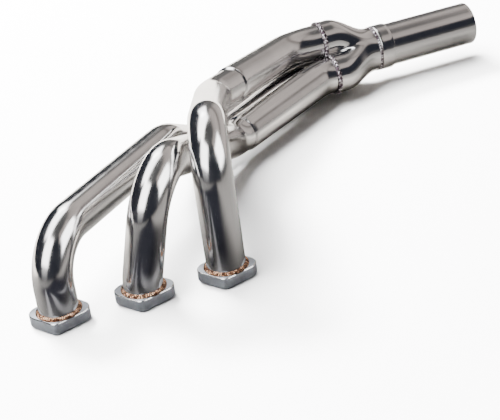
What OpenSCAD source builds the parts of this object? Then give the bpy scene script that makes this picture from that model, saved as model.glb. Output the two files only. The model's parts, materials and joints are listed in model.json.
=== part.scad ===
// Exhaust manifold: a welded three-into-one tubular header for one bank of a straight-six engine.
// Millimetres, +Z up. The origin is the centre of the middle port on the gasket face.
// Three primary tubes leave the flanges, slip into wider runner tubes and merge in a collector.

/* [Flanges] */
// Distance between neighbouring ports
port_pitch = 91; // [90:0.5:93]
// Thickness of each flange
flange_t = 14; // [12:0.5:15]
// Distance across the flange's closer pair of sides
flange_close = 48; // [47.5:0.5:52]
// Distance across the flange's wider pair of sides
flange_wide = 51; // [50:0.5:54]
// Angle between the two pairs of sides
flange_skew = 75; // [72:1:90]
// Radius of the two sharper corners, left and right
sharp_corner_r = 14; // [12:0.5:15]
// Radius of the two blunter corners, front and back
blunt_corner_r = 8; // [6:0.5:10]
// Heading of the closer pair of sides, from +X toward +Y
flange_turn = 20; // [0:1:30]
// Bevel around the flange's top edge
flange_bevel = 0.8; // [0.4:0.1:1.5]
// Diameter of the port through a flange
port_d = 38; // [36:0.5:38.5]

/* [Tubes] */
// Outside diameter of the primary tubes
primary_od = 42.4; // [41:0.1:42.4]
// Outside diameter of the runner tubes
runner_od = 46; // [45.9:0.1:46.2]
// Wall of the primary and runner tubes
tube_wall = 1.5; // [1.2:0.1:1.6]
// How far a primary tube reaches inside its runner tube
slip_overlap = 20; // [10:1:24]
// Bend radius of the tight bends at the flanges
tight_bend_r = 51; // [49:1:52]
// Bend radius of the sweeping bends
sweep_bend_r = 64; // [60:1:66]
// Bend radius of the right runner's last bend
right_last_bend_r = 80; // [76:1:82]

/* [Left pipe] */
// Height of the corner of the left pipe's first bend
left_rise = 94; // [92:1:96]
// Left pipe's S-bend corner, along X
left_dip_x = 85; // [83:1:87]
// Left pipe's S-bend corner, along Y
left_dip_y = 197; // [195:1:199]
// Left pipe's S-bend corner, along Z
left_dip_z = 82; // [80:1:84]
// Length of the left lower run, corner to corner
left_run = 215; // [211:1:219]
// Where the left runner's mouth sits on that run
left_mouth = 26; // [24:1:32]
// Length of the left pipe's last leg, corner to collector
left_last_leg = 38; // [36:1:40]

/* [Middle pipe] */
// Height where the middle pipe starts to lean
middle_lean_z = 23; // [22:1:24]
// How far the middle pipe leans to the right at the top
middle_lean_x = 30; // [28:1:32]
// Height of the corner of the middle pipe's main bend
middle_rise = 149; // [147:1:151]
// Length of the middle lower run, corner to corner
middle_run = 205; // [202:1:208]
// Where the middle runner's mouth sits on that run
middle_mouth = 22; // [20:1:28]
// Length of the middle pipe's last leg, corner to collector
middle_last_leg = 20; // [19:1:21]

/* [Right pipe] */
// Height of the corner of the right pipe's main bend
right_rise = 173; // [171:1:175]
// Right pipe's level-out corner, along X
right_knee_x = 158; // [156:1:160]
// Right pipe's level-out corner, along Y
right_knee_y = 244; // [242:1:246]
// Right pipe's level-out corner, along Z
right_knee_z = 102; // [101:1:104]
// Where the right runner's mouth sits past that corner
right_mouth = 52; // [46:1:64]
// Length of the right pipe's last leg, corner to collector
right_last_leg = 46; // [44:1:48]

/* [Lower runs] */
// Heading of the two lower runs, from +X toward +Y
run_heading = 38; // [37.5:0.1:38.5]

/* [Collector] */
// Centre of the collector's inlet, along X
collector_x = 356; // [354:1:358]
// Centre of the collector's inlet, along Y
collector_y = 404; // [402:1:406]
// Centre of the collector's inlet, along Z
collector_z = 46.5; // [46.5:0.5:48]
// Heading of the collector and outlet, from +X toward +Y
collector_heading = 5; // [4.5:0.1:5.5]
// How far the right pipe's mouth is turned past the top of the collector
collector_roll = 13; // [12:0.5:14]
// Distance between the centres of the collector's three mouths
mouth_spacing = 50; // [50:0.5:51]
// Length of the collector, mouths to neck
collector_len = 70; // [66:1:76]
// Straight length of each mouth before it sweeps inward
mouth_straight = 12; // [10:1:14]
// Sheet thickness of the collector
collector_wall = 2; // [1.9:0.1:2]
// How far a runner tube reaches inside its mouth
mouth_overlap = 8; // [6:1:10]

/* [Outlet] */
// Outside diameter of the outlet tube
outlet_od = 57; // [56:0.5:58]
// Wall of the outlet tube
outlet_wall = 1.5; // [1.2:0.1:2]
// Length of the outlet tube
outlet_len = 144; // [120:1:150]
// Length of the stop collar on the outlet tube
collar_len = 19; // [12:1:24]
// Height of the stop collar above the outlet tube
collar_h = 1.9; // [1:0.1:2.5]

/* [Welds] */
// Width of the weld around a tube on its flange
flange_weld_w = 3.2; // [2.5:0.1:3.5]
// Width of the weld around the collector's mouths
mouth_weld_w = 3.4; // [3:0.1:3.6]
// Width of the weld that joins the collector's neck to the outlet tube
neck_weld_w = 4; // [3:0.1:5]

/* [Hidden] */

// Smoothness of round shapes
$fn = 96;
// Smoothness of the collector's formed sheet, around it and along its sweep
section_points = 60;
sweep_steps = 6;

steel = "#c8cbd0";
flange_steel = "#8d949b";
bronze = "#a5763f";
weld_silver = "#b4a7b2";

// Order of the three pipes in every list below
left = 0;
middle = 1;
right = 2;

primary_id = primary_od - 2 * tube_wall;
runner_id = runner_od - 2 * tube_wall;
outlet_id = outlet_od - 2 * outlet_wall;

// Shortest stretch that is drawn, and how far a cut passes the face it starts from
least = 0.01;
past = 1;

// Straights reach a little into the bends beside them, a hair thinner, so that they fuse cleanly
lap = 0.3;
hair = 0.06;

up = [0, 0, 1];
function unit(v) = v / norm(v);
function heading(a) = [cos(a), sin(a), 0];

// Collector axis, and the three mouths spread around it
out_dir = heading(collector_heading);
across = cross(out_dir, up);
mouth_circle_r = mouth_spacing / sqrt(3);
mouth_clearance = 0.2;
mouth_r = runner_od / 2 + mouth_clearance + collector_wall;

// Length over which the lobes sweep into the neck
sweep_len = collector_len - mouth_straight;

// The mouths are bored deep enough for the runner tubes, down to a small ledge
mouth_bore_r = mouth_r - collector_wall;
mouth_depth = mouth_overlap + 2;
bore_h = mouth_depth + 2 * past;
ledge = 0.3;

// The collector's neck, and how deep the valleys between its lobes are at the mouths
neck_r = outlet_id / 2 + collector_wall + ledge;
valley_share = 0.76;
valley_r = valley_share * mouth_circle_r;

// The spike in the middle of the three mouths
plug_r = mouth_circle_r - mouth_r - mouth_clearance;
spike_len = 22;

// How far the weld around the mouths stands above the lobes
mouth_weld_h = 1.3;

// How much thinner the outlet tube is under its collar
collar_seat = 0.3;
collector_at = [collector_x, collector_y, collector_z];
mouth_angles = [240 - collector_roll, 120 - collector_roll, -collector_roll];
function spread(i) = up * cos(mouth_angles[i]) + across * sin(mouth_angles[i]);
function mouth_at(i) = collector_at + mouth_circle_r * spread(i);

// Corners of each pipe, from its port to the collector
ports = [[-port_pitch, 0, flange_t], [0, 0, flange_t], [port_pitch, 0, flange_t]];
last_legs = [left_last_leg, middle_last_leg, right_last_leg];
function last_corner(i) = mouth_at(i) - last_legs[i] * out_dir;
knees = [
    last_corner(left) - left_run * heading(run_heading),
    last_corner(middle) - middle_run * heading(run_heading),
    [right_knee_x, right_knee_y, right_knee_z],
];
rises = [
    [[-port_pitch, 0, left_rise], [left_dip_x, left_dip_y, left_dip_z]],
    [[0, 0, middle_lean_z], [middle_lean_x, 0, middle_rise]],
    [[port_pitch, 0, right_rise]],
];
rise_bends = [[tight_bend_r, sweep_bend_r], [tight_bend_r, tight_bend_r], [tight_bend_r]];
last_bends = [tight_bend_r, tight_bend_r, right_last_bend_r];

// Where each primary tube ends and each runner tube begins, along the run between them
mouths = [left_mouth, middle_mouth, right_mouth];
function run_dir(i) = unit(last_corner(i) - knees[i]);
function on_run(i, distance) = knees[i] + distance * run_dir(i);

// Distances along the collector axis from its inlet
neck_weld_end = collector_len + neck_weld_w;

// Puts a shape's origin at a point, with its x and z axes along two directions
module place(at, x_dir, z_dir) {
    y_dir = cross(z_dir, x_dir);
    multmatrix([
        [x_dir.x, y_dir.x, z_dir.x, at.x],
        [x_dir.y, y_dir.y, z_dir.y, at.y],
        [x_dir.z, y_dir.z, z_dir.z, at.z],
    ])
        children();
}

// Any direction square to d
function square_to(d) = unit(cross(d, abs(d.z) < 0.9 ? up : [1, 0, 0]));

// Draws along the collector axis, a distance from its inlet
module on_axis(distance) {
    place(collector_at + distance * out_dir, up, out_dir) children();
}

// A flat ring, the section of every tube
module ring(od, id) {
    difference() {
        circle(d = od);
        circle(d = id);
    }
}

module straight(from, to, od, id) {
    dir = unit(to - from);
    place(from, square_to(dir), dir) linear_extrude(norm(to - from)) ring(od, id);
}

module bend(from, dir, next_dir, bend_r, od, id) {
    inward = unit(next_dir - dir * (dir * next_dir));
    place(from + bend_r * inward, -inward, cross(-inward, dir))
        rotate_extrude(angle = acos(dir * next_dir))
            translate([bend_r, 0]) ring(od, id);
}

// How much of the path a bend takes on each side of its corner
function cut_back(path, bends, i) =
    i == 0 || i == len(path) - 1 ? 0
    : bends[i - 1] * tan(acos(unit(path[i] - path[i - 1]) * unit(path[i + 1] - path[i])) / 2);

// A bent tube: straight from corner to corner, with a round bend at each corner between
module tube(path, bends, od, id) {
    for (i = [1 : len(path) - 1]) {
        dir = unit(path[i] - path[i - 1]);
        from = path[i - 1] + cut_back(path, bends, i - 1) * dir;
        to = path[i] - cut_back(path, bends, i) * dir;
        from_lap = i == 1 ? 0 : lap;
        to_lap = i == len(path) - 1 ? 0 : lap;
        if (norm(to - from) > least)
            straight(from - from_lap * dir, to + to_lap * dir, od - 2 * hair, id + 2 * hair);
        if (i < len(path) - 1) bend(to, dir, unit(path[i + 1] - path[i]), bends[i - 1], od, id);
    }
}

// Thick four-cornered plate with a bevelled top edge and the port through it
module flange(i) {
    color(flange_steel)
        translate([ports[i].x, 0, 0])
            difference() {
                hull() {
                    flange_corners(sharp_corner_r, -1);
                    flange_corners(blunt_corner_r, 1);
                }
                translate([0, 0, -past]) cylinder(h = flange_t + 2 * past, d = port_d);
            }
}

// Two opposite corners of a flange: where two sides meet, each moved in by the corner's radius.
// With sign 1 the two sides are the front ones, with -1 a front one and a back one.
module flange_corners(r, sign) {
    a = heading(flange_turn - 90);
    b = sign * heading(flange_turn - 90 - flange_skew);
    across_a = flange_close / 2 - r;
    across_b = flange_wide / 2 - r;
    corner = (across_b * cross(up, a) - across_a * cross(up, b)) / (a.x * b.y - a.y * b.x);
    for (at = [corner, -corner])
        translate(at) {
            cylinder(h = flange_t - flange_bevel, r = r);
            cylinder(h = flange_t, r = r - flange_bevel);
        }
}

// Rounded fillet weld around the foot of a primary tube
module flange_weld(i) {
    steps = 6;
    inner_r = primary_od / 2;
    crown = [
        for (k = [0 : steps])
            [inner_r + flange_weld_w * cos(90 * k / steps), flange_weld_w * sin(90 * k / steps)]
    ];
    color(bronze)
        translate(ports[i]) rotate_extrude() polygon(concat([[inner_r, 0]], crown));
}

module primary_tube(i) {
    path = concat([ports[i]], rises[i], [knees[i], on_run(i, mouths[i] + slip_overlap)]);
    color(steel) tube(path, concat(rise_bends[i], [sweep_bend_r]), primary_od, primary_id);
}

// Small fillet weld where a runner tube's mouth meets the primary tube inside it
module joint_weld(i) {
    step = (runner_od - primary_od) / 2;
    color(weld_silver)
        place(on_run(i, mouths[i]), square_to(run_dir(i)), run_dir(i))
            rotate_extrude()
                translate([primary_od / 2, 0]) polygon([[0, 0], [step, 0], [0, -step]]);
}

module runner_tube(i) {
    path = [on_run(i, mouths[i]), last_corner(i), mouth_at(i) + mouth_overlap * out_dir];
    color(steel) tube(path, [last_bends[i]], runner_od, runner_id);
}

// The weld around the three mouths, one web that the runner tubes pass through
module collector_weld() {
    color(weld_silver)
        on_axis(-mouth_weld_w)
            linear_extrude(mouth_weld_w)
                difference() {
                    mouth_discs(mouth_r + mouth_weld_h);
                    mouth_discs(runner_od / 2);
                    circle(r = plug_r);
                }
}

module mouth_discs(r) {
    for (a = mouth_angles) rotate(a) translate([mouth_circle_r, 0]) circle(r = r);
}

// Spike that plugs the gap in the middle of the three mouths and parts the gas behind it
module merge_spike() {
    r = plug_r - hair;
    plug_h = mouth_weld_w + mouth_depth;
    tip_h = plug_h + spike_len;
    color(weld_silver)
        on_axis(-mouth_weld_w)
            rotate_extrude()
                polygon([[0, 0], [r, 0], [r, plug_h], [r / 4, tip_h], [0, tip_h]]);
}

// Three formed lobes that sweep from the mouths into one round neck
module collector() {
    color(steel)
        on_axis(0)
            difference() {
                lobed_solid(0, 0, collector_len);
                lobed_solid(collector_wall + ledge, mouth_depth, collector_len + past);
                translate([0, 0, -past]) {
                    for (a = mouth_angles)
                        rotate(a) translate([mouth_circle_r, 0]) cylinder(h = bore_h, r = mouth_bore_r);
                    cylinder(h = bore_h, r = plug_r);
                }
            }
}

// The collector's shape, or its hollow when wall is more than 0, from one distance to another
module lobed_solid(wall, from, to) {
    sweep = [for (k = [0 : sweep_steps]) mouth_straight + sweep_len * k / sweep_steps];
    stops = concat([from], sweep, to > collector_len ? [to] : []);
    last = (len(stops) - 1) * section_points;
    polyhedron(
        points = [
            for (distance = stops)
                for (k = [0 : section_points - 1])
                    section_point(360 * k / section_points, distance, wall)
        ],
        faces = concat(
            [[for (k = [0 : section_points - 1]) k]],
            [[for (k = [section_points - 1 : -1 : 0]) last + k]],
            [
                for (ring = [0 : len(stops) - 2])
                    for (k = [0 : section_points - 1])
                        for (face = side_faces(ring * section_points, k, (k + 1) % section_points)) face
            ]
        )
    );
}

// The two triangles between neighbouring points k and next of two rings
function side_faces(ring, k, next) = [
    [ring + k, ring + section_points + k, ring + section_points + next],
    [ring + k, ring + section_points + next, ring + next],
];

// Share of the way from the mouths to the neck that the sweep has covered at a distance
function swept(distance) =
    (1 - cos(180 * min(1, max(0, (distance - mouth_straight) / sweep_len)))) / 2;

function section_point(angle, distance, wall) =
    let (
        t = swept(distance),
        valley = valley_r + (neck_r - valley_r) * t - wall,
        lobe_r = mouth_r + (neck_r - mouth_r) * t - wall,
        lobe_at = mouth_circle_r * (1 - t),
        lobes = [for (a = mouth_angles) lobe_reach(angle - a, lobe_at, lobe_r)],
        reach = max(concat([valley], lobes))
    )
    [reach * cos(angle), reach * sin(angle), distance];

// How far a disc of radius r, centred c from the axis, reaches at an angle from its centre
function lobe_reach(angle, c, r) =
    cos(angle) > 0 && r > c * abs(sin(angle)) ? c * cos(angle) + sqrt(r * r - pow(c * sin(angle), 2)) : 0;

// Butt weld between the collector's neck and the outlet tube, with a round crown
module neck_weld() {
    steps = 8;
    crown = [
        for (k = [0 : steps])
            [outlet_od / 2 + neck_weld_w / 2 * sin(180 * k / steps), -neck_weld_w / 2 * cos(180 * k / steps)]
    ];
    root = [[outlet_id / 2, neck_weld_w / 2], [outlet_id / 2, -neck_weld_w / 2]];
    color(weld_silver)
        on_axis(collector_len + neck_weld_w / 2) rotate_extrude() polygon(concat(crown, root));
}

// Raised collar that stops whatever is slid over the outlet tube
module outlet_collar() {
    r = outlet_od / 2 - collar_seat;
    crown_r = outlet_od / 2 + collar_h;
    edge = 0.8;
    color(steel)
        on_axis(neck_weld_end)
            rotate_extrude()
                polygon([
                    [r, 0],
                    [crown_r - edge, 0],
                    [crown_r, edge],
                    [crown_r, collar_len - edge],
                    [crown_r - edge, collar_len],
                    [r, collar_len],
                ]);
}

// Straight tube, turned down a little under the collar
module outlet_tube() {
    inner_r = outlet_id / 2;
    outer_r = outlet_od / 2;
    seat_r = outer_r - collar_seat;
    color(steel)
        on_axis(neck_weld_end)
            rotate_extrude()
                polygon([
                    [inner_r, 0],
                    [seat_r, 0],
                    [seat_r, collar_len],
                    [outer_r, collar_len],
                    [outer_r, outlet_len],
                    [inner_r, outlet_len],
                ]);
}

flange(left);  // left_flange
flange(middle);  // middle_flange
flange(right);  // right_flange
flange_weld(left);  // left_flange_weld
flange_weld(middle);  // middle_flange_weld
flange_weld(right);  // right_flange_weld
primary_tube(left);  // left_primary_tube
primary_tube(middle);  // middle_primary_tube
primary_tube(right);  // right_primary_tube
joint_weld(left);  // left_joint_weld
joint_weld(middle);  // middle_joint_weld
joint_weld(right);  // right_joint_weld
runner_tube(left);  // left_runner_tube
runner_tube(middle);  // middle_runner_tube
runner_tube(right);  // right_runner_tube
collector_weld();
merge_spike();
collector();
neck_weld();
outlet_collar();
outlet_tube();
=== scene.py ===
"""Looks of the exhaust manifold: polished tubes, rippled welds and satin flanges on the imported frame.

The manifold's sizes are in millimetres, as in the CAD source, and mesh_from_rings() turns them into
metres. Each piece is built again from those sizes, finer than the CAD mesh, and stands for its CAD
node. The floor, the lights and the camera are in metres.
"""

import json
import math

import bpy
from mathutils import Matrix, Vector, noise


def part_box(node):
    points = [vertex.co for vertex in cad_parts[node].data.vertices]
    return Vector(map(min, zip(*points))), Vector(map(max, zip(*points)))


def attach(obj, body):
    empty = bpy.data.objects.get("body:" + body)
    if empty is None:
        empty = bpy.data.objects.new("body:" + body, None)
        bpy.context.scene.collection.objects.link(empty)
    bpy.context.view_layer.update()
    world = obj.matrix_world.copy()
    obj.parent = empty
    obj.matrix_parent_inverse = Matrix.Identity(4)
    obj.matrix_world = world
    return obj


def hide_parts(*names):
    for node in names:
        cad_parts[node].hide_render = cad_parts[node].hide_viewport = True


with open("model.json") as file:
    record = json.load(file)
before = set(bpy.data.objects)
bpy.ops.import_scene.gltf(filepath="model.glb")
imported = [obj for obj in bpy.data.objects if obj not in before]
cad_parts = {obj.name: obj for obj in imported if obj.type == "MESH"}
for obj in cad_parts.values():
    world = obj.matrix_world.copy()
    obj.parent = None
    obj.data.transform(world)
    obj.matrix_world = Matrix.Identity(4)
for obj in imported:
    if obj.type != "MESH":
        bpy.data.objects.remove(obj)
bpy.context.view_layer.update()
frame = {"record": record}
MM = 0.001
UP = Vector((0, 0, 1))


def box_mm(node):
    """Lowest and highest corner of a CAD node, in millimetres."""
    low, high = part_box(node)
    return low / MM, high / MM


def centre_of(node):
    low, high = box_mm(node)
    return (low + high) / 2


# --- sizes and places --------------------------------------------------------------------

SIDES = ("left", "middle", "right")
mounts = {m["name"]: m for m in frame["record"]["mounts"]}

# Tubes, outside radius and wall
PRIMARY_R = 21.2
RUNNER_R = 23.0
TUBE_WALL = 1.5
OUTLET_R = mounts["outlet"]["dims"]["r_mm"]
OUTLET_WALL = 1.5
SLIP_OVERLAP = 20.0

# How many points go around a tube
TUBE_SIDES = 96
OUTLET_SIDES = 128

# Flanges: skewed plates, with their outline turned from square to the row of ports
FLANGE_T = box_mm("middle_flange")[1].z
PORT_R = mounts["middle_port"]["dims"]["r_mm"]
FLANGE_CLOSE = 48.0
FLANGE_WIDE = 51.0
FLANGE_SKEW = 75.0
SHARP_CORNER_R = 14.0
BLUNT_CORNER_R = 8.0
FLANGE_TURN = 20.0
FLANGE_BEVEL = 0.8
FLANGE_FOOT_ROUND = 2.4

# Collector and outlet, along the outlet's own axis
OUT_DIR = Vector(mounts["outlet"]["axis"]).normalized()
ACROSS = OUT_DIR.cross(UP)
COLLECTOR_AT = Vector((356.0, 404.0, 46.5))
COLLECTOR_ROLL = 13.0
MOUTH_CIRCLE_R = 50.0 / math.sqrt(3)
MOUTH_R = 25.2
MOUTH_STRAIGHT = 12.0
MOUTH_OVERLAP = 8.0
MOUTH_DEPTH = 10.0
MOUTH_WELD_W = 3.4
PLUG_R = 3.4
SPIKE_LEN = 22.0
COLLECTOR_LEN = 70.0
COLLECTOR_WALL = 2.3
NECK_R = 29.3
VALLEY_R = 0.76 * MOUTH_CIRCLE_R
VALLEY_SOFTNESS = 3.5
NECK_WELD_W = 4.0
OUTLET_START = COLLECTOR_LEN + NECK_WELD_W
OUTLET_LEN = 144.0
COLLAR_LEN = 19.0
COLLAR_H = 1.9
MOUTH_ANGLES = {
    "left": math.radians(240 - COLLECTOR_ROLL),
    "middle": math.radians(120 - COLLECTOR_ROLL),
    "right": math.radians(-COLLECTOR_ROLL),
}


def on_axis(distance, angle=0.0, radius=0.0):
    """A point a distance along the collector's axis, and out from it at an angle from straight up."""
    return COLLECTOR_AT + distance * OUT_DIR + radius * (math.cos(angle) * UP + math.sin(angle) * ACROSS)


def heading(degrees):
    """A level direction, from +X toward +Y."""
    return Vector((math.cos(math.radians(degrees)), math.sin(math.radians(degrees)), 0))


# Each pipe goes from its port over one or two rises to its knee, and on a straight run to its last
# corner and into its mouth. The bends are the radii at those corners.
RUN_DIR = heading(38)
RUN_LEN = {"left": 215.0, "middle": 205.0}
LAST_LEG = {"left": 38.0, "middle": 20.0, "right": 46.0}
ports = {side: Vector((centre_of(f"{side}_flange").x, 0, FLANGE_T)) for side in SIDES}
mouths = {side: on_axis(0, MOUTH_ANGLES[side], MOUTH_CIRCLE_R) for side in SIDES}
last_corners = {side: mouths[side] - LAST_LEG[side] * OUT_DIR for side in SIDES}
knees = {
    "left": last_corners["left"] - RUN_LEN["left"] * RUN_DIR,
    "middle": last_corners["middle"] - RUN_LEN["middle"] * RUN_DIR,
    "right": Vector((158, 244, 102)),
}
rises = {
    "left": [Vector((ports["left"].x, 0, 94)), Vector((85, 197, 82))],
    "middle": [Vector((0, 0, 23)), Vector((30, 0, 149))],
    "right": [Vector((ports["right"].x, 0, 173))],
}
rise_bends = {"left": [51, 64], "middle": [51, 51], "right": [51]}
KNEE_BEND = 64.0
last_bends = {"left": 51.0, "middle": 51.0, "right": 80.0}

# How far along its run each primary tube enters its runner
mouth_on_run = {"left": 26.0, "middle": 22.0, "right": 52.0}


def on_run(side, distance):
    return knees[side] + distance * (last_corners[side] - knees[side]).normalized()


# How slowly the drawn marks change along a tube, against around it
GRAIN_STRETCH = 0.03

# A length too small to see, where an exact zero won't do
TINY = 0.01


# --- mesh helpers ------------------------------------------------------------------------


def mesh_from_rings(name, rings, sharp_degrees=30.0):
    """A piece from rings of points. Each ring is closed, and the last ring joins the first."""
    count = len(rings[0])
    points = [Vector(p) * MM for ring in rings for p in ring]
    faces = []
    for i in range(len(rings)):
        a, b = i * count, (i + 1) % len(rings) * count
        for k in range(count):
            n = (k + 1) % count
            faces.append((a + k, a + n, b + n, b + k))
    mesh = bpy.data.meshes.new(name)
    mesh.from_pydata(points, [], faces)
    mesh.update()
    mesh.shade_smooth()
    mesh.set_sharp_from_angle(angle=math.radians(sharp_degrees))
    piece = bpy.data.objects.new(name, mesh)
    bpy.context.scene.collection.objects.link(piece)
    return piece


def finish_piece(piece, slot, material, *nodes):
    """The piece rides on the root, takes its material and stands for the CAD nodes."""
    piece.data.materials.append(material)
    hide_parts(*nodes)
    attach(piece, "root")


def set_attribute(piece, name, values):
    attribute = piece.data.attributes.new(name, "FLOAT", "POINT")
    attribute.data.foreach_set("value", values)


def set_even(piece, name, value):
    set_attribute(piece, name, [value] * len(piece.data.vertices))


def set_grain(piece, radius, lengths, count):
    """Coordinates for drawn-tube marks: around the tube, and slowly changing along it."""
    attribute = piece.data.attributes.new("grain", "FLOAT_VECTOR", "POINT")
    values = []
    for length in lengths:
        for k in range(count):
            a = 2 * math.pi * k / count
            values += [radius * math.cos(a), radius * math.sin(a), length * GRAIN_STRETCH]
    attribute.data.foreach_set("vector", values)


def bend_path(corners, bend_radii, step_degrees=2.5, straight_step=6.0):
    """Points and directions along a path of straights with a round bend at each inner corner."""
    points, dirs = [], []
    start = corners[0]
    for i in range(1, len(corners)):
        d = (corners[i] - corners[i - 1]).normalized()
        if i < len(corners) - 1:
            d_next = (corners[i + 1] - corners[i]).normalized()
            angle = d.angle(d_next)
            cut = bend_radii[i - 1] * math.tan(angle / 2)
        else:
            angle, cut = 0.0, 0.0
        end = corners[i] - cut * d
        steps = max(1, round((end - start).length / straight_step))
        for k in range(steps):
            points.append(start.lerp(end, k / steps))
            dirs.append(d)
        if angle:
            axis = d.cross(d_next).normalized()
            pivot = end + bend_radii[i - 1] * axis.cross(d)
            steps = max(2, math.ceil(math.degrees(angle) / step_degrees))
            for k in range(steps):
                turn = Matrix.Rotation(angle * k / steps, 3, axis)
                points.append(pivot + turn @ (end - pivot))
                dirs.append(turn @ d)
            start = corners[i] + cut * d_next
    return [*points, end], [*dirs, d]


def frames_along(dirs):
    """Two square directions for each direction, carried along without twisting."""
    side = dirs[0].cross(UP if abs(dirs[0].z) < 0.9 else Vector((1, 0, 0))).normalized()
    frames = []
    for i, d in enumerate(dirs):
        if i:
            side = dirs[i - 1].rotation_difference(d) @ side
        side = (side - side.dot(d) * d).normalized()
        frames.append((side, d.cross(side)))
    return frames


def circle_ring(centre, x_dir, y_dir, radius, count):
    return [
        centre + radius * (math.cos(a) * x_dir + math.sin(a) * y_dir)
        for a in (2 * math.pi * k / count for k in range(count))
    ]


def tube(name, corners, bend_radii, radius, wall, lip=0.35, count=TUBE_SIDES):
    """A closed tube wall along the path, its ends rounded by the lip's radius."""
    points, dirs = bend_path(corners, bend_radii)
    frames = frames_along(dirs)
    lip_steps = 4

    def ring(i, r, shift=0.0):
        return circle_ring(points[i] + shift * dirs[i], *frames[i], r, count)

    def lip_rings(i, outward):
        """Rings around an end's lip: from the outside in at the far end, and back out at the near end."""
        rounds = []
        for k in range(1, lip_steps):
            a = math.radians(90 * k / lip_steps)
            rounds.append((radius - lip * (1 - math.cos(a)), -lip * (1 - math.sin(a))))
        inner = [(2 * radius - wall - r, shift) for r, shift in reversed(rounds)]
        both = (rounds + inner)[::outward]
        return [ring(i, r, outward * shift) for r, shift in both]

    last = len(points) - 1
    run = [0.0]
    for i in range(last):
        run.append(run[-1] + (points[i + 1] - points[i]).length)
    rings = [ring(0, radius, lip)]
    rings += [ring(i, radius) for i in range(1, last)]
    rings += [ring(last, radius, -lip)]
    rings += lip_rings(last, 1)
    rings += [ring(last, radius - wall, -lip)]
    rings += [ring(i, radius - wall) for i in range(last - 1, 0, -1)]
    rings += [ring(0, radius - wall, lip)]
    rings += lip_rings(0, -1)
    piece = mesh_from_rings(name, rings)
    rings_per_lip = 2 * (lip_steps - 1)
    lengths = run + [run[-1]] * rings_per_lip + run[::-1] + [0.0] * rings_per_lip
    set_grain(piece, radius, lengths, count)
    return piece


# --- materials ---------------------------------------------------------------------------


class Graph:
    """Short calls for building a node tree."""

    def __init__(self, tree):
        self.tree = tree

    def add(self, kind, **settings):
        made = self.tree.nodes.new(kind)
        for key, value in settings.items():
            setattr(made, key, value)
        return made

    def link(self, output, target):
        self.tree.links.new(output, target)

    def feed(self, value, socket):
        """Links an output to the socket, or sets the socket to a plain value."""
        if isinstance(value, bpy.types.NodeSocket):
            self.link(value, socket)
        elif isinstance(value, tuple):
            socket.default_value = (*value, 1)
        else:
            socket.default_value = value

    def math(self, operation, a, b=0.0):
        made = self.add("ShaderNodeMath", operation=operation)
        self.feed(a, made.inputs[0])
        self.feed(b, made.inputs[1])
        return made.outputs[0]

    def smooth(self, value, start, end):
        """0 at start and 1 at end, easing between."""
        made = self.add("ShaderNodeMapRange", interpolation_type="SMOOTHSTEP")
        flip = start > end
        self.feed(value, made.inputs["Value"])
        made.inputs["From Min"].default_value = min(start, end)
        made.inputs["From Max"].default_value = max(start, end)
        made.inputs["To Min"].default_value = 1.0 if flip else 0.0
        made.inputs["To Max"].default_value = 0.0 if flip else 1.0
        return made.outputs["Result"]

    def ramp(self, factor, *stops):
        """stops are (position, colour or grey value)."""
        made = self.add("ShaderNodeValToRGB")
        elements = made.color_ramp.elements
        while len(elements) < len(stops):
            elements.new(0.5)
        for element, (position, value) in zip(elements, stops):
            element.position = position
            element.color = (*value, 1) if isinstance(value, tuple) else (value, value, value, 1)
        self.link(factor, made.inputs["Fac"])
        return made.outputs["Color"]

    def mix(self, factor, a, b, blend="MIX"):
        """a at factor 0 and b at factor 1. A Mix node keeps sockets for every data type: these are
        the factor and the two colours that go in, and the colour that comes out."""
        factor_in, colour_a_in, colour_b_in, colour_out = 0, 6, 7, 2
        made = self.add("ShaderNodeMix", data_type="RGBA", blend_type=blend)
        self.feed(factor, made.inputs[factor_in])
        self.feed(a, made.inputs[colour_a_in])
        self.feed(b, made.inputs[colour_b_in])
        return made.outputs[colour_out]


class Nodes(Graph):
    """One material's node tree, with its Principled shader."""

    def __init__(self, name):
        self.material = bpy.data.materials.new(name)
        self.material.use_nodes = True
        super().__init__(self.material.node_tree)
        self.shader = self.tree.nodes["Principled BSDF"]
        self.place = self.add("ShaderNodeTexCoord").outputs["Object"]

    def noise(self, scale, detail=2.0, roughness=0.5, stretch=(1, 1, 1), place=None):
        mapping = self.add("ShaderNodeMapping")
        mapping.inputs["Scale"].default_value = stretch
        self.link(place or self.place, mapping.inputs["Vector"])
        made = self.add("ShaderNodeTexNoise")
        made.inputs["Scale"].default_value = scale
        made.inputs["Detail"].default_value = detail
        made.inputs["Roughness"].default_value = roughness
        self.link(mapping.outputs["Vector"], made.inputs["Vector"])
        return made.outputs["Fac"]

    def attribute(self, name, output="Fac"):
        return self.add("ShaderNodeAttribute", attribute_name=name).outputs[output]

    def bump(self, *layers):
        """Each layer is (height, distance in metres, strength), and adds to the one before."""
        normal = None
        for height, distance, strength in layers:
            made = self.add("ShaderNodeBump")
            made.inputs["Distance"].default_value = distance
            made.inputs["Strength"].default_value = strength
            self.link(height, made.inputs["Height"])
            if normal is not None:
                self.link(normal, made.inputs["Normal"])
            normal = made.outputs["Normal"]
        self.link(normal, self.shader.inputs["Normal"])

    def set(self, **values):
        """Feeds the shader's sockets, named with _ for each space."""
        for name, value in values.items():
            self.feed(value, self.shader.inputs[name.replace("_", " ")])


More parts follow.
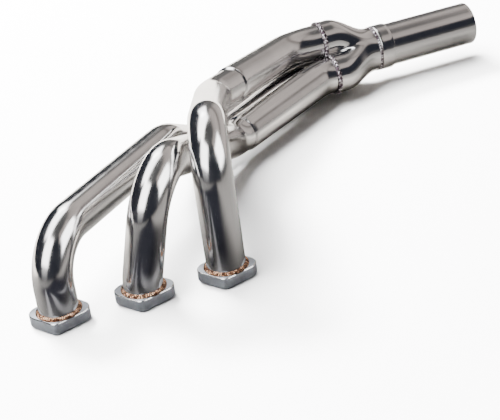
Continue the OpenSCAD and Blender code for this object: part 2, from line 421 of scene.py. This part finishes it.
def polished_steel(name, rough_low, rough_high, ripple, drawn=0.0):
    """Mirror-polished stainless: cloudy, with heat tint, a slight wobble of the sheet, a fine grain
    and, if drawn, marks along the tube. ripple and drawn say how strongly the wobble and the marks
    tilt the surface."""
    n = Nodes(name)
    clouds = n.noise(22, detail=3)
    smears = n.noise(60, detail=4)
    wobble = n.noise(28, detail=1)
    grain = n.noise(900, detail=2)
    colour = n.ramp(clouds, (0.3, (0.70, 0.69, 0.685)), (0.7, (0.80, 0.79, 0.785)))
    heat = n.ramp(
        n.attribute("heat"),
        (0.0, (1.0, 1.0, 1.0)),
        (0.55, (1.0, 0.93, 0.86)),
        (0.8, (0.92, 0.78, 0.72)),
        (1.0, (0.74, 0.66, 0.78)),
    )
    roughness = n.ramp(smears, (0.3, rough_low), (0.7, rough_high))
    layers = [(wobble, 0.001, ripple), (grain, 0.00002, 0.25)]
    if drawn:
        marks = n.noise(0.9, detail=4, roughness=0.6, place=n.attribute("grain", "Vector"))
        greyness = n.ramp(marks, (0.35, 0.0), (0.65, 0.35))
        colour = n.mix(greyness, colour, (0.60, 0.585, 0.575))
        layers.append((marks, 0.0001, drawn))
    n.set(Base_Color=n.mix(1.0, colour, heat, "MULTIPLY"), Metallic=1.0, Roughness=roughness)
    n.bump(*layers)
    return n.material


def satin_steel(name):
    """Ground flange steel: fine grain, darker scuffs, and browned by the weld at the port."""
    n = Nodes(name)
    grain = n.noise(900, detail=3, stretch=(1, 1, 0.15))
    scuffs = n.noise(120, detail=5, roughness=0.65)
    colour = n.ramp(scuffs, (0.3, (0.37, 0.39, 0.43)), (0.7, (0.47, 0.495, 0.535)))
    heat = n.ramp(n.attribute("heat"), (0.0, (1.0, 1.0, 1.0)), (0.5, (0.36, 0.27, 0.23)))
    roughness = n.ramp(scuffs, (0.3, 0.36), (0.7, 0.48))
    n.set(Base_Color=n.mix(1.0, colour, heat, "MULTIPLY"), Metallic=0.92, Roughness=roughness)
    n.bump((grain, 0.00006, 0.5), (scuffs, 0.0002, 0.3))
    return n.material


def weld_metal(name, valley, crown, tint, rough):
    """Rippled weld bead: the colour runs from painted shade in the ripples' valleys and under the bead to
    the bead's own colour at the crown, with patches in the heat tint.
    """
    n = Nodes(name)
    # Painted shade: the valley colour darkens each ripple's trough and the bead's lower side.
    ripple = n.ramp(n.attribute("ripple"), (0.25, valley), (0.85, crown))
    patches = n.ramp(n.noise(330, detail=2), (0.47, 0.0), (0.53, 1.0))
    roughness = n.ramp(n.noise(700, detail=3), (0.3, rough * 0.6), (0.7, rough * 1.5))
    lumps = n.noise(480, detail=2)
    grain = n.noise(1300, detail=3)
    n.set(Base_Color=n.mix(patches, ripple, tint), Metallic=1.0, Roughness=roughness)
    n.bump((lumps, 0.0016, 0.8), (grain, 0.0003, 0.6))
    return n.material


tube_steel = polished_steel(
    "tube_polished_steel", rough_low=0.11, rough_high=0.19, ripple=0.10, drawn=0.22
)
sheet_steel = polished_steel("collector_polished_steel", rough_low=0.07, rough_high=0.13, ripple=0.2)
flange_steel = satin_steel("flange_satin_steel")
edge_steel = polished_steel("flange_bright_edge", rough_low=0.12, rough_high=0.22, ripple=0.2)
# Each weld's valley colour is painted shade; its crown and tint are the bead's own colours.
bronze_weld = weld_metal(
    "bronze_weld",
    valley=(0.10, 0.04, 0.015),
    crown=(0.86, 0.56, 0.38),
    tint=(0.13, 0.055, 0.03),
    rough=0.2,
)
silver_weld = weld_metal(
    "silver_weld",
    valley=(0.10, 0.08, 0.10),
    crown=(0.95, 0.92, 0.95),
    tint=(0.10, 0.07, 0.09),
    rough=0.28,
)


# --- pieces ------------------------------------------------------------------------------


def plane_heat(piece, point, normal, start, reach):
    """Heat tint by distance from a plane: full at start and gone at start + reach."""
    values = []
    for v in piece.data.vertices:
        off = abs((v.co / MM - point).dot(normal)) - start
        values.append(max(0.0, min(1.0, 1 - off / reach)))
    set_attribute(piece, "heat", values)


def make_primary_tube(side):
    tube_end = on_run(side, mouth_on_run[side] + SLIP_OVERLAP)
    corners = [ports[side], *rises[side], knees[side], tube_end]
    bends = [*rise_bends[side], KNEE_BEND]
    piece = tube(f"{side}_primary_polished", corners, bends, PRIMARY_R, TUBE_WALL)
    plane_heat(piece, ports[side], UP, start=2.0, reach=16.0)
    finish_piece(piece, "polished_tube", tube_steel, f"{side}_primary_tube")


def make_runner_tube(side):
    tube_end = mouths[side] + MOUTH_OVERLAP * OUT_DIR
    corners = [on_run(side, mouth_on_run[side]), last_corners[side], tube_end]
    bends = [last_bends[side]]
    piece = tube(f"{side}_runner_polished", corners, bends, RUNNER_R, TUBE_WALL, lip=0.6)
    plane_heat(piece, on_axis(-MOUTH_WELD_W / 2), OUT_DIR, start=2.0, reach=14.0)
    finish_piece(piece, "polished_tube", tube_steel, f"{side}_runner_tube")


def flange_corner(radius, sign):
    """Centre of a flange's rounded corner: where two sides meet, each moved in by the radius."""
    a = heading(FLANGE_TURN - 90)
    b = sign * heading(FLANGE_TURN - 90 - FLANGE_SKEW)
    across_a = FLANGE_CLOSE / 2 - radius
    across_b = FLANGE_WIDE / 2 - radius
    return (across_b * UP.cross(a) - across_a * UP.cross(b)) / (a.x * b.y - a.y * b.x)


def flange_outline(inset, count_per_corner=20):
    """Outline points of a skewed plate, inset from its edge. Its left and right corners are sharper."""
    front = flange_corner(BLUNT_CORNER_R, 1)
    right = flange_corner(SHARP_CORNER_R, -1)
    close_side = FLANGE_TURN - 90
    wide_side = close_side + 180 - FLANGE_SKEW
    corners = [
        (right, SHARP_CORNER_R, close_side, wide_side),
        (-front, BLUNT_CORNER_R, wide_side, close_side + 180),
        (-right, SHARP_CORNER_R, close_side + 180, wide_side + 180),
        (front, BLUNT_CORNER_R, wide_side + 180, close_side + 360),
    ]
    outline = []
    for centre, radius, start, end in corners:
        for k in range(count_per_corner + 1):
            turned = start + (end - start) * k / count_per_corner
            outline.append(centre + (radius - inset) * heading(turned))
    return outline


def flange_rings(centre):
    """A flange's outline at each height, from its rounded foot over the bevel, then its bore."""
    foot = FLANGE_FOOT_ROUND
    ease, eased_bevel = 0.08, 0.78 * FLANGE_BEVEL
    levels = [(foot, 0.0), (foot * 0.35, foot * 0.45), (0.0, foot)]
    levels += [(0.0, FLANGE_T * share) for share in (0.3, 0.6)]
    levels += [(0.0, FLANGE_T - FLANGE_BEVEL), (ease, FLANGE_T - eased_bevel)]
    levels += [(eased_bevel, FLANGE_T - ease), (FLANGE_BEVEL, FLANGE_T)]
    rings = [[centre + p + z * UP for p in flange_outline(inset)] for inset, z in levels]
    angles = [math.atan2(p.y, p.x) for p in flange_outline(0)]
    edge = 0.3
    bore = [(PORT_R + edge, FLANGE_T), (PORT_R, FLANGE_T - edge), (PORT_R, edge), (PORT_R + edge, 0)]
    for radius, z in bore:
        rings.append([centre + Vector((radius * math.cos(a), radius * math.sin(a), z)) for a in angles])
    return rings


def make_flange(side):
    """Satin plate with a polished bevel, browned on its top around the port."""
    centre = Vector((ports[side].x, 0, 0))
    piece = mesh_from_rings(f"{side}_flange_satin", flange_rings(centre), sharp_degrees=25)
    finish_piece(piece, "flange_steel", flange_steel, f"{side}_flange")

    def beside_port(point):
        return (point / MM - centre).to_2d().length < PORT_R + 1

    top = FLANGE_T - TINY
    browned = [v.co.z / MM > top and beside_port(v.co) for v in piece.data.vertices]
    set_attribute(piece, "heat", [float(b) for b in browned])
    piece.data.materials.append(edge_steel)
    for face in piece.data.polygons:
        on_bevel = FLANGE_T - FLANGE_BEVEL < face.center.z / MM < top
        if on_bevel and not beside_port(face.center):
            face.material_index = 1


def scallop(ripples):
    """Height of the weld after so many ripples, each of them steep on its leading side."""
    return math.sin(math.pi * (ripples % 1.0) ** 0.6)


def bead(name, path, outward, along, width, height, ripples, uneven):
    """A rippled weld bead on a closed path. outward and along say, for each path point, which way the
    bead's crown and its width point. Its ripples lie over one another like a fallen stack of coins."""
    count = len(path)
    section = 14
    wobble_scale = 0.35
    root = 0.4 * height
    # Painted shade: the bead's lower side gets a low ripple value, so it takes the dark valley colour.
    underside_shade = 0.3
    rings, ripple_shade_values = [], []
    for j in range(section):
        a = 2 * math.pi * j / section
        on_crown = math.sin(a) > 0
        lag = 0.45 * math.sin(a) ** 2
        ring = []
        for k in range(count):
            # Each ripple raises the crown and widens the bead a little, and the wobble varies both
            h = scallop(k / count * ripples + lag)
            wobble = noise.noise(path[k] * wobble_scale) * uneven
            w = width * (1 + 0.12 * wobble + 0.10 * h)
            crown = height * (0.45 + 0.55 * h + 0.25 * wobble)
            lift = math.sin(a) * (crown if on_crown else root)
            ring.append(path[k] + along[k] * (math.cos(a) * w / 2) + outward[k] * lift)
            # The ripple value paints shade in each ripple's trough and on the bead's lower side.
            ripple_shade_values.append(h if on_crown else underside_shade)
        rings.append(ring)
    piece = mesh_from_rings(name, rings, sharp_degrees=180)
    set_attribute(piece, "ripple", ripple_shade_values)
    return piece


def make_flange_weld(side):
    """Fillet bead that leans between the tube's foot and the flange's top."""
    count = 480
    off_tube, off_flange = 1.35, 1.1
    path, outward, along = [], [], []
    for k in range(count):
        a = 2 * math.pi * k / count
        out = Vector((math.cos(a), math.sin(a), 0))
        path.append(ports[side] + out * (PRIMARY_R + off_tube) + UP * off_flange)
        outward.append((out + UP).normalized())
        along.append((out - UP).normalized())
    piece = bead(
        f"{side}_flange_bead", path, outward, along, width=4.8, height=1.4, ripples=60, uneven=0.5
    )
    finish_piece(piece, "bronze_weld", bronze_weld, f"{side}_flange_weld")


def make_joint_weld(side):
    """Thin polished fillet that fills the step from the primary tube up to the runner's mouth."""
    at = on_run(side, mouth_on_run[side])
    along = (last_corners[side] - knees[side]).normalized()
    frame_across = frames_along([along])[0]
    step = RUNNER_R - PRIMARY_R
    inner = PRIMARY_R - 0.1
    profile = [(inner, 0.0), (inner, -step)]
    profile += [(PRIMARY_R + 0.25, -step * 0.55), (PRIMARY_R + 0.9, -step * 0.22)]
    profile += [(PRIMARY_R + step * 0.75, z) for z in (-0.05, 0.0)]
    rings = [circle_ring(at + z * along, *frame_across, r, TUBE_SIDES) for r, z in profile]
    piece = mesh_from_rings(f"{side}_joint_fillet", rings, sharp_degrees=60)
    set_even(piece, "heat", 0.6)
    finish_piece(piece, "polished_tube", tube_steel, f"{side}_joint_weld")


def swept(distance):
    """How far the three lobes have merged into the neck: 0 at the mouths and 1 at the neck."""
    share = (distance - MOUTH_STRAIGHT) / (COLLECTOR_LEN - MOUTH_STRAIGHT)
    return (1 - math.cos(math.pi * min(1.0, max(0.0, share)))) / 2


def soft_max(values, softness):
    """The greatest value, rounded up where two of them are about as great."""
    top = max(values)
    return top + softness * math.log(sum(math.exp((v - top) / softness) for v in values))


def lobe_reach(angle, offset, radius):
    """How far a disc reaches from the collector's axis at an angle from the disc's centre."""
    side = offset * math.sin(angle)
    if math.cos(angle) <= 0 or abs(side) >= radius:
        return 0.0
    return offset * math.cos(angle) + math.sqrt(radius ** 2 - side ** 2)


def collector_reach(angle, distance, wall):
    """How far the collector's surface is from its axis: outside with wall 0, or else inside."""
    t = swept(distance)
    valley = VALLEY_R + (NECK_R - VALLEY_R) * t - wall
    radius = MOUTH_R + (NECK_R - MOUTH_R) * t - wall
    offset = MOUTH_CIRCLE_R * (1 - t)
    reaches = [lobe_reach(angle - a, offset, radius) for a in MOUTH_ANGLES.values()]
    return soft_max([valley, *reaches], VALLEY_SOFTNESS * (1 - t) + TINY)


def collector_ring(distance, wall, count=240):
    return [
        on_axis(distance, a, collector_reach(a, distance, wall))
        for a in (2 * math.pi * k / count for k in range(count))
    ]


def make_collector():
    """Formed sheet, with closer rings at its mouths, where its heat tint changes."""
    steps = 60
    swept_len = COLLECTOR_LEN - MOUTH_STRAIGHT
    distances = [0.0, 0.6, 2.0, 5.0, 8.0]
    distances += [MOUTH_STRAIGHT + swept_len * k / steps for k in range(steps + 1)]
    rings = [collector_ring(d, 0.0) for d in distances]
    rings += [collector_ring(d, COLLECTOR_WALL) for d in reversed(distances)]
    piece = mesh_from_rings("collector_formed_sheet", rings, sharp_degrees=50)
    plane_heat(piece, COLLECTOR_AT, OUT_DIR, start=1.0, reach=10.0)
    finish_piece(piece, "polished_tube", sheet_steel, "collector")


def make_merge_spike():
    """Plug between the three mouths with a cone behind it. Its end faces all but meet on the axis."""
    plug_len = MOUTH_WELD_W + MOUTH_DEPTH
    tip = plug_len + SPIKE_LEN
    profile = [(TINY, 0.0), (PLUG_R, 0.0), (PLUG_R, plug_len), (PLUG_R / 4, tip), (TINY, tip)]
    rings = [circle_ring(on_axis(d - MOUTH_WELD_W), UP, ACROSS, r, 32) for r, d in profile]
    piece = mesh_from_rings("merge_spike_cone", rings, sharp_degrees=40)
    set_even(piece, "ripple", 0.5)
    finish_piece(piece, "silver_weld", silver_weld, "merge_spike")


def evenly_spaced(points, count):
    """So many points at equal steps along a closed line of points."""
    samples = len(points)
    lengths = [0.0]
    for k in range(samples):
        lengths.append(lengths[-1] + (points[(k + 1) % samples] - points[k]).length)
    spaced, k = [], 0
    for j in range(count):
        target = lengths[-1] * j / count
        while lengths[k + 1] < target:
            k += 1
        share = (target - lengths[k]) / (lengths[k + 1] - lengths[k])
        spaced.append(points[k].lerp(points[(k + 1) % samples], share))
    return spaced


def trefoil(distance, radius, count):
    """Points and outward directions around the union of three discs, one in front of each mouth."""
    samples = 3600
    points = []
    for k in range(samples):
        a = 2 * math.pi * k / samples
        reach = max(lobe_reach(a - m, MOUTH_CIRCLE_R, radius) for m in MOUTH_ANGLES.values())
        points.append(on_axis(distance, a, reach))
    spaced = evenly_spaced(points, count)
    outward = []
    for j in range(count):
        tangent = (spaced[(j + 1) % count] - spaced[j - 1]).normalized()
        outward.append(tangent.cross(OUT_DIR).normalized())
    if outward[0].dot(spaced[0] - on_axis(distance)) < 0:
        outward = [-o for o in outward]
    return spaced, outward


def make_collector_weld():
    count = 1100
    off_runner = 1.5
    path, outward = trefoil(-MOUTH_WELD_W / 2, RUNNER_R + off_runner, count)
    along = [OUT_DIR] * count
    piece = bead("collector_bead", path, outward, along, width=5.2, height=2.1, ripples=96, uneven=0.9)
    finish_piece(piece, "silver_weld", silver_weld, "collector_weld")


def make_neck_weld():
    count = 480
    off_outlet = 0.2
    centre = on_axis(COLLECTOR_LEN + NECK_WELD_W / 2)
    outward = circle_ring(Vector((0, 0, 0)), UP, ACROSS, 1.0, count)
    path = [centre + o * (OUTLET_R + off_outlet) for o in outward]
    along = [OUT_DIR] * count
    piece = bead("neck_bead", path, outward, along, width=3.6, height=1.5, ripples=52, uneven=0.8)
    finish_piece(piece, "silver_weld", silver_weld, "neck_weld")


def make_outlet_tube():
    corners = [on_axis(OUTLET_START), on_axis(OUTLET_START + OUTLET_LEN)]
    piece = tube("outlet_polished", corners, [], OUTLET_R, OUTLET_WALL, lip=0.5, count=OUTLET_SIDES)
    set_even(piece, "heat", 0.0)
    finish_piece(piece, "polished_tube", tube_steel, "outlet_tube")


def make_outlet_collar():
    """Stop collar with rounded edges, sunk a little into the outlet tube."""
    edge = 0.9
    eased = 0.3 * edge
    inner = OUTLET_R - 0.2
    outer = OUTLET_R + COLLAR_H
    profile = [(inner, 0.0), (outer - edge, 0.0), (outer - eased, eased), (outer, edge)]
    profile += [(outer, COLLAR_LEN * share) for share in (0.25, 0.5, 0.75)]
    profile += [(outer, COLLAR_LEN - edge), (outer - eased, COLLAR_LEN - eased)]
    profile += [(outer - edge, COLLAR_LEN), (inner, COLLAR_LEN)]
    rings = [circle_ring(on_axis(OUTLET_START + d), UP, ACROSS, r, OUTLET_SIDES) for r, d in profile]
    piece = mesh_from_rings("outlet_collar_polished", rings, sharp_degrees=50)
    set_even(piece, "heat", 0.0)
    finish_piece(piece, "polished_tube", tube_steel, "outlet_collar")


for side in SIDES:
    make_flange(side)
    make_flange_weld(side)
    make_primary_tube(side)
    make_joint_weld(side)
    make_runner_tube(side)
make_collector()
make_merge_spike()
make_collector_weld()
make_neck_weld()
make_outlet_tube()
make_outlet_collar()


# --- floor, light and camera, in metres --------------------------------------------------

STUDIO_CENTRE = Vector((0.15, 0.15, 0.08))

# Directions of the two soft boxes in front of the object, in degrees from +X toward +Y
LEFT_BOX_AZIMUTH = -144
RIGHT_BOX_AZIMUTH = -36


def painted_streak_mask(n, place, port):
    """Mask of a strip of floor that runs from a port toward the left soft box, painted pale in the tubes'
    reflections as a painted highlight streak up each tube.
    """
    toward = heading(LEFT_BOX_AZIMUTH)
    beside = Vector((-toward.y, toward.x, 0))
    offset, outer_edge, inner_edge = 0.007, 0.016, 0.002

    def distance_along(direction):
        from_x = n.math("MULTIPLY", n.math("SUBTRACT", place.outputs["X"], port.x), direction.x)
        from_y = n.math("MULTIPLY", n.math("SUBTRACT", place.outputs["Y"], port.y), direction.y)
        return n.math("ADD", from_x, from_y)

    off_strip = n.math("ABSOLUTE", n.math("SUBTRACT", distance_along(beside), offset))
    along = distance_along(toward)
    ends = n.math("MULTIPLY", n.smooth(along, 0.0, 0.05), n.smooth(along, 0.24, 0.12))
    return n.math("MULTIPLY", n.smooth(off_strip, outer_edge, inner_edge), ends)


def painted_floor_reflection(n):
    """Painted reflection: the floor's colour as only the tubes mirror it, like a sheet of white paper
    that ends at the ports, with a nearly black surface in front of it that is paler at its left, at its
    right and in a strip from each port."""
    place = n.add("ShaderNodeSeparateXYZ")
    n.link(n.place, place.inputs["Vector"])
    edge_turns_at, edge_slope = 0.25, 0.8
    past_turn = n.math("MAXIMUM", n.math("SUBTRACT", place.outputs["X"], edge_turns_at), 0.0)
    behind_edge = n.math("SUBTRACT", place.outputs["Y"], n.math("MULTIPLY", past_turn, edge_slope))
    left_of_ports = n.smooth(place.outputs["X"], -0.22, -0.38)
    right_of_middle = n.smooth(place.outputs["X"], 0.06, 0.20)
    # Painted reflection colours: nearly black ahead of the ports, paler to their left and right.
    colour = n.mix(left_of_ports, (0.0032, 0.0034, 0.0045), (0.030, 0.0295, 0.029))
    colour = n.mix(right_of_middle, colour, (0.048, 0.046, 0.044))
    for port in ports.values():
        # Painted highlight: a pale strip from each port, seen only in the tubes' reflections as a bright
        # streak.
        colour = n.mix(painted_streak_mask(n, place, port * MM), colour, (0.050, 0.050, 0.053))
    colour = n.mix(n.smooth(behind_edge, -0.10, 0.08), colour, (0.060, 0.058, 0.055))
    return n.mix(n.smooth(behind_edge, 0.08, 0.32), colour, (0.27, 0.255, 0.235))


def make_floor():
    """Plain pale floor, with a darker painted reflection that only the tubes' mirror rays see."""
    half = 8.0
    mesh = bpy.data.meshes.new("floor")
    corners = [(-half, -half, 0), (half, -half, 0), (half, half, 0), (-half, half, 0)]
    mesh.from_pydata(corners, [], [(0, 1, 2, 3)])
    floor = bpy.data.objects.new("floor", mesh)
    bpy.context.scene.collection.objects.link(floor)
    n = Nodes("pale_floor")
    # Only mirror rays see the painted reflection; all other rays see the plain floor colour.
    in_mirror = n.add("ShaderNodeLightPath").outputs["Is Glossy Ray"]
    colour = n.mix(in_mirror, (0.86, 0.86, 0.86), painted_floor_reflection(n))
    n.set(Base_Color=colour, Roughness=0.9, Specular_IOR_Level=0.0)
    mesh.materials.append(n.material)


def fade_edges(light, share):
    """The box's glow falls off over this share of its width and height at every edge."""
    light.use_nodes = True
    g = Graph(light.node_tree)
    split = g.add("ShaderNodeSeparateXYZ")
    g.link(g.add("ShaderNodeNewGeometry").outputs["Parametric"], split.inputs["Vector"])
    glow = 1.0
    for axis in ("X", "Y"):
        off_centre = g.math("ABSOLUTE", g.math("SUBTRACT", split.outputs[axis], 0.5))
        glow = g.math("MULTIPLY", g.smooth(off_centre, 0.5, 0.5 - share), glow)
    g.link(glow, g.tree.nodes["Emission"].inputs["Strength"])


def soft_box(name, azimuth, elevation, distance, wide, high, radiance, mirrored):
    """A rectangular light, placed and sized by the angles in degrees at which the object sees it.
    A mirrored box has faded edges and acts only as a reflection in the metal. The others act only as
    light on dull surfaces, so on the floor."""
    light = bpy.data.lights.new(name, "AREA")
    light.shape = "RECTANGLE"
    light.size = 2 * distance * math.tan(math.radians(wide / 2))
    light.size_y = 2 * distance * math.tan(math.radians(high / 2))
    light.energy = radiance * math.pi * light.size * light.size_y
    if mirrored:
        fade_edges(light, share=0.2)
    box = bpy.data.objects.new(name, light)
    bpy.context.scene.collection.objects.link(box)
    e = math.radians(elevation)
    toward = math.cos(e) * heading(azimuth) + math.sin(e) * UP
    box.location = STUDIO_CENTRE + distance * toward
    box.rotation_mode = "QUATERNION"
    box.rotation_quaternion = toward.to_track_quat("Z", "Y")
    box.visible_glossy = mirrored
    box.visible_diffuse = not mirrored
    return box


def shine_only_on(box, names):
    """Every piece but these is shaded from the box."""
    lit = bpy.data.collections.new(f"{box.name}_shines_on")
    for name in names:
        lit.objects.link(bpy.data.objects[name])
    box.light_linking.receiver_collection = lit


def make_world():
    """A dark studio with a dim ceiling, panelled pale walls behind and right of the object, and a glow
    under the left soft box."""
    world = bpy.data.worlds.new("studio")
    bpy.context.scene.world = world
    world.use_nodes = True
    g = Graph(world.node_tree)
    split = g.add("ShaderNodeSeparateXYZ")
    g.link(g.add("ShaderNodeTexCoord").outputs["Generated"], split.inputs["Vector"])
    height = split.outputs["Z"]
    azimuth = g.math("ARCTAN2", split.outputs["Y"], split.outputs["X"])

    def rise(degrees):
        return math.sin(math.radians(degrees))

    def wall(centre, half_width, edge, low, high):
        """Mask of a soft-edged stretch of wall between two elevations, all in degrees."""
        off_centre = g.math("ABSOLUTE", g.math("SUBTRACT", azimuth, math.radians(centre)))
        across = g.smooth(off_centre, math.radians(half_width + edge), math.radians(half_width - edge))
        top = g.smooth(height, rise(high + edge), rise(high - edge))
        bottom = g.smooth(height, rise(low - edge), rise(low + edge))
        return g.math("MULTIPLY", across, g.math("MULTIPLY", top, bottom))

    panels = g.ramp(
        height,
        (rise(8), (0.84, 0.76, 0.72)),
        (rise(20), (0.66, 0.60, 0.57)),
        (rise(29), (0.22, 0.20, 0.19)),
        (rise(35), (0.80, 0.72, 0.68)),
        (rise(56), (0.60, 0.54, 0.51)),
    )
    # Each wall's place and soft edge, and what it is painted with
    walls = [
        (wall(28, 34, 8, -20, 62), panels),
        (wall(RIGHT_BOX_AZIMUTH, 28, 5, 40, 62), panels),
        (wall(RIGHT_BOX_AZIMUTH, 24, 5, -20, 8), (0.10, 0.098, 0.10)),
        (wall(LEFT_BOX_AZIMUTH, 13, 6, -20, 6), (0.22, 0.22, 0.23)),
        (wall(LEFT_BOX_AZIMUTH, 14, 6, 4, 12), (0.42, 0.42, 0.43)),
        (wall(LEFT_BOX_AZIMUTH, 15, 6, 10, 24), (0.95, 0.95, 0.95)),
        (wall(70, 8, 6, -20, 40), (0.20, 0.195, 0.19)),
    ]
    colour = g.mix(g.smooth(height, rise(50), rise(62)), (0.030, 0.033, 0.045), (0.12, 0.12, 0.12))
    for mask, paint in walls:
        colour = g.mix(mask, colour, paint)
    g.link(colour, g.tree.nodes["Background"].inputs["Color"])


def make_camera():
    """The photograph's view, from ahead and a little left of the ports and tilted about its own axis.
    The centre of the picture is aim_right and aim_up of the frame's origin."""
    azimuth, elevation, roll = math.radians(-14.0), math.radians(27.1), math.radians(8.0)
    distance = 1.468
    aim_right, aim_up = 0.1094, 0.0928
    forward = Vector((
        -math.sin(azimuth) * math.cos(elevation),
        math.cos(azimuth) * math.cos(elevation),
        -math.sin(elevation),
    ))
    level = Vector((math.cos(azimuth), math.sin(azimuth), 0))
    square = level.cross(forward)
    right = math.cos(roll) * level - math.sin(roll) * square
    up = math.sin(roll) * level + math.cos(roll) * square
    data = bpy.data.cameras.new("camera")
    data.sensor_width = 36.0
    data.lens = 100.6
    camera = bpy.data.objects.new("camera", data)
    bpy.context.scene.collection.objects.link(camera)
    camera.matrix_world = Matrix((
        (right.x, up.x, -forward.x, 0),
        (right.y, up.y, -forward.y, 0),
        (right.z, up.z, -forward.z, 0),
        (0, 0, 0, 1),
    ))
    camera.location = aim_right * right + aim_up * up - distance * forward
    bpy.context.scene.camera = camera


def make_lights():
    """Two lights for the floor, and four soft boxes for the metal to mirror."""
    soft_box("floor_light", 142, 67, 4.0, wide=68, high=42, radiance=36, mirrored=False)
    soft_box("low_floor_light", 104, 42, 4.0, wide=20, high=12, radiance=420, mirrored=False)
    soft_box("overhead_box", 128, 66, 4.0, wide=66, high=38, radiance=7, mirrored=True)
    soft_box("back_box", 88, 45, 4.0, wide=28, high=32, radiance=6, mirrored=True)
    soft_box("left_box", LEFT_BOX_AZIMUTH, 40, 2.5, wide=44, high=52, radiance=7, mirrored=True)
    right_box = soft_box(
        "right_box", RIGHT_BOX_AZIMUTH, 30, 2.0, wide=50, high=44, radiance=7, mirrored=True
    )
    lit = [f"{side}_{piece}" for side in SIDES for piece in ("primary_polished", "flange_satin")]
    shine_only_on(right_box, lit)


make_floor()
make_world()
make_lights()
make_camera()
